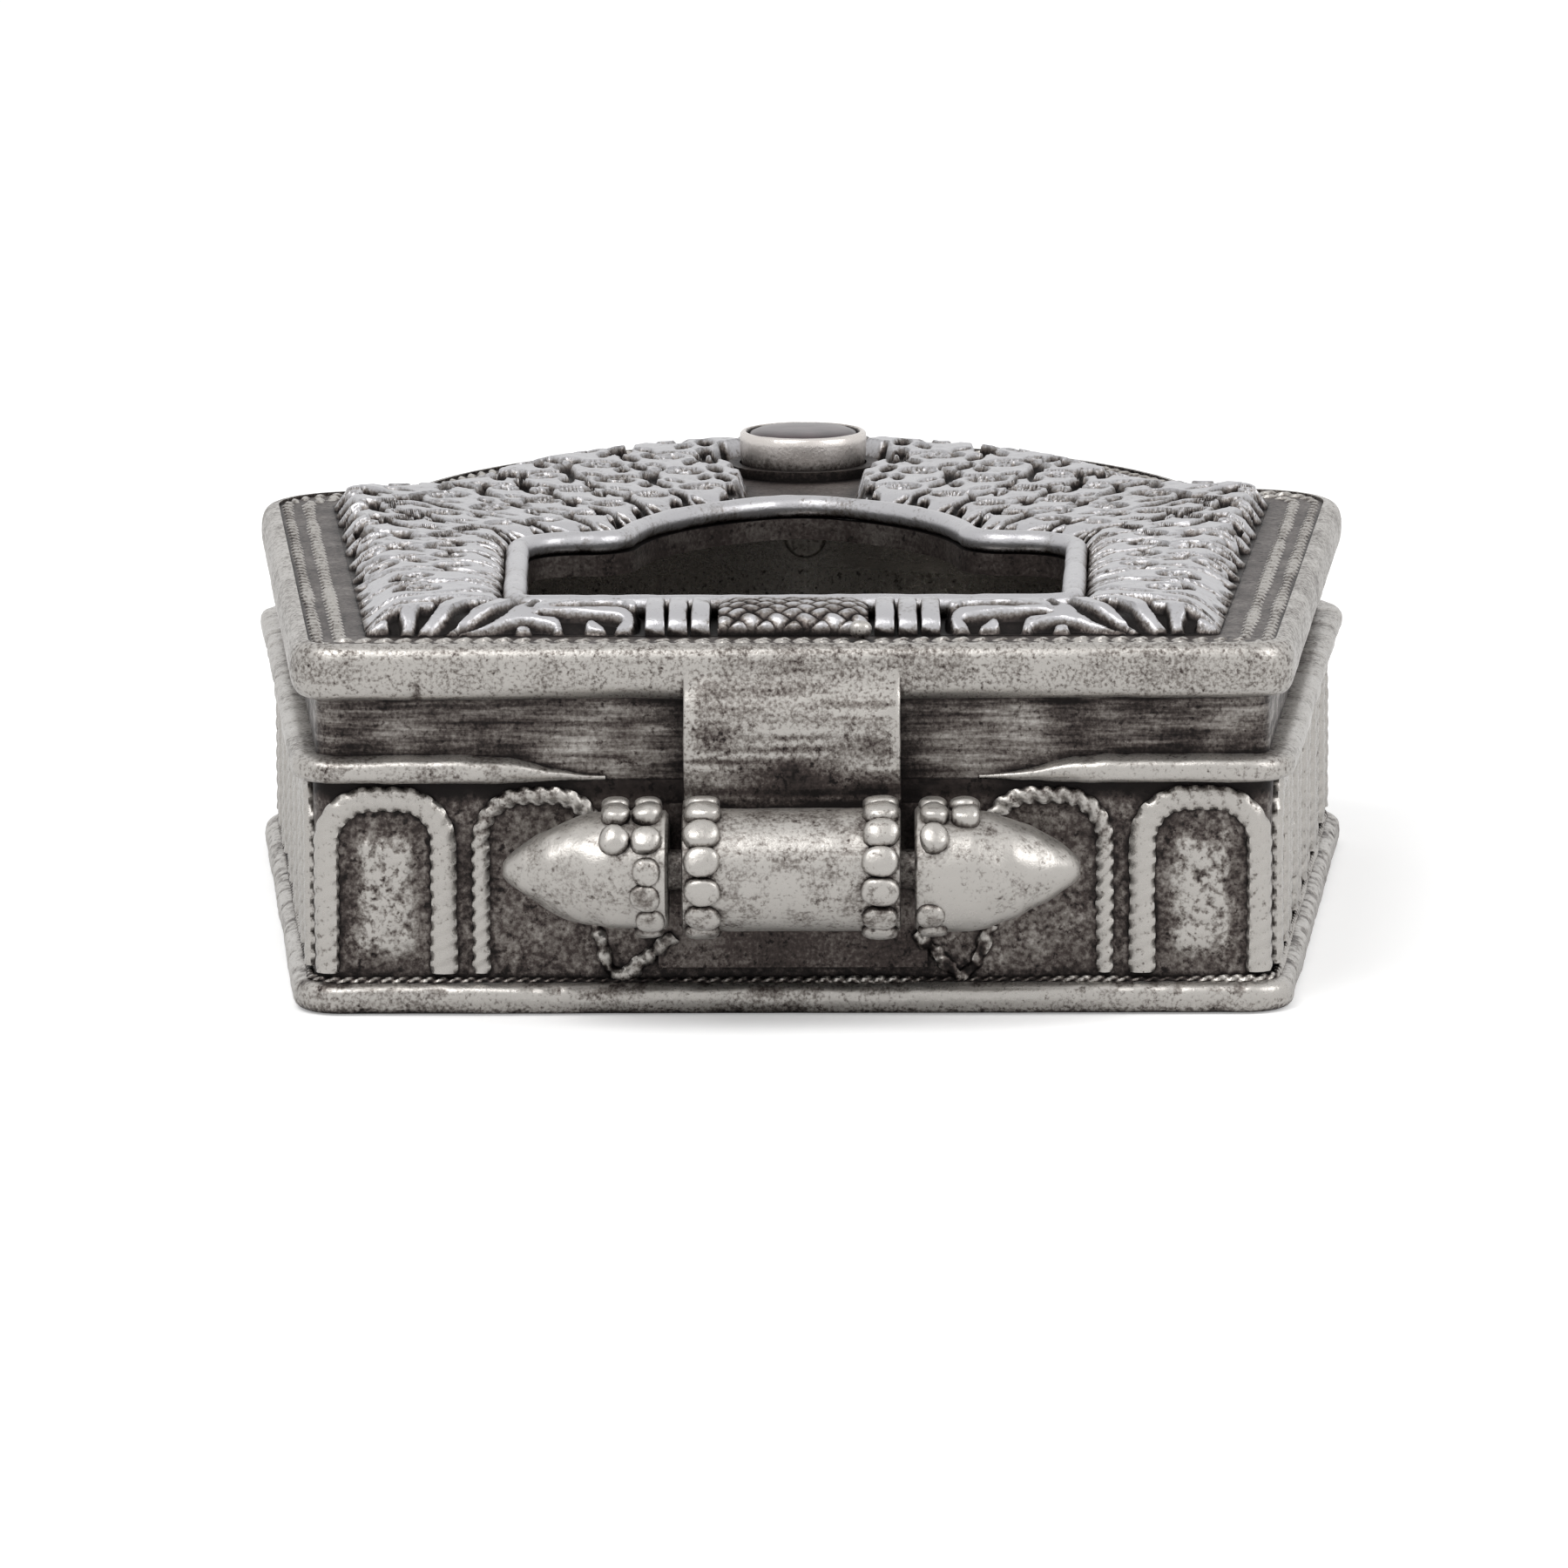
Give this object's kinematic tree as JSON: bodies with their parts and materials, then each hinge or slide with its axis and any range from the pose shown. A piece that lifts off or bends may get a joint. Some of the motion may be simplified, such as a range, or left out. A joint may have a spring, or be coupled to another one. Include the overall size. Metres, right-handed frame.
{
  "type": "ghau amulet box",
  "caption": "Shrine-shaped silver amulet box with an arcaded wall, a windowed scrollwork lid hinged at the foot and a bail tube for a neck cord.",
  "frame": {"origin": "middle of the back's resting face, on the box's centre line and half way along its plan", "axes": "+Z out of the back towards the lid, +Y from the hinged foot to the arched head, +X to the right"},
  "size_m": [0.0468, 0.0656, 0.017],
  "materials": {
    "worn_silver": "oxidised coin silver, worn bright on high places",
    "dark_silver": "oxidised coin silver, dark brown-grey in recesses",
    "dark_stone": "polished dark stone"
  },
  "bodies": {
    "box": {"back_plate": "worn_silver", "base_wire": "worn_silver", "side_wall": "dark_silver", "neck_collar": "dark_silver", "shoulder_moulding": "worn_silver", "foot_arches": "worn_silver", "left_arches": "worn_silver", "right_arches": "worn_silver", "head_arches": "worn_silver", "hinge_plate": "dark_silver", "left_knuckle": "worn_silver", "right_knuckle": "worn_silver", "left_knuckle_lug": "dark_silver", "right_knuckle_lug": "dark_silver", "left_knuckle_beads": "worn_silver", "right_knuckle_beads": "worn_silver", "hinge_pin": "dark_silver", "bail_tube": "worn_silver", "bail_post": "dark_silver"},
    "lid": {"lid_band": "worn_silver", "lid_plate": "dark_silver", "outer_border_wire": "worn_silver", "inner_border_wire": "worn_silver", "window_rim": "worn_silver", "scroll_frame": "worn_silver", "left_foot_bars": "worn_silver", "right_foot_bars": "worn_silver", "woven_plaque": "worn_silver", "frieze_granule": "worn_silver", "setting_collar": "dark_silver", "stone_cup": "worn_silver", "stone": "dark_stone", "hinge_strap": "worn_silver", "hinge_barrel": "worn_silver", "left_barrel_beads": "worn_silver", "right_barrel_beads": "worn_silver"}
  },
  "joints": [
    {"name": "lid_hinge", "type": "hinge", "parent": "box", "child": "lid", "pos_m": [0, -0.03105, 0.0065], "axis": [1, 0, 0], "range_deg": [0, 165]}
  ]
}
